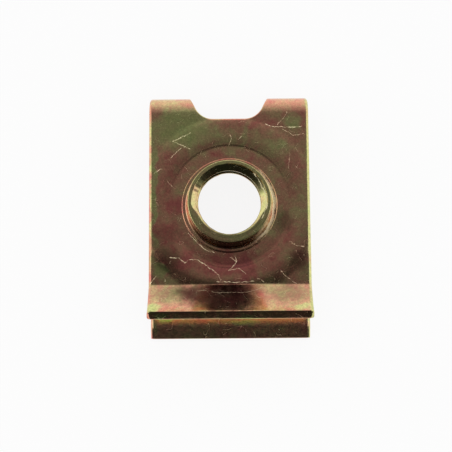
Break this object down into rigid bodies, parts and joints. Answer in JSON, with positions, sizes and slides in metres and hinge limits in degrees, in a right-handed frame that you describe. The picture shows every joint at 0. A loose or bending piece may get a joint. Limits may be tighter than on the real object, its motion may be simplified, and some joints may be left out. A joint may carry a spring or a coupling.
{
  "type": "clip nut",
  "caption": "Folded spring-steel clip nut with a drawn and threaded barrel, a curled lead-in lip and a relief notch in its fold, for a metric screw through a thin panel's edge.",
  "frame": {"origin": "centre of the clearance hole, on the outer face of the plain back leaf", "axes": "+Z along the screw axis towards the free end of the barrel, +Y along the strip towards the fold, X across the strip"},
  "size_m": [0.013, 0.0198, 0.0054],
  "materials": {
    "yellow_zinc": "zinc plated with an iridescent yellow chromate, glossy, scratched"
  },
  "bodies": {
    "root": {"clip_nut": "yellow_zinc"}
  },
  "joints": []
}
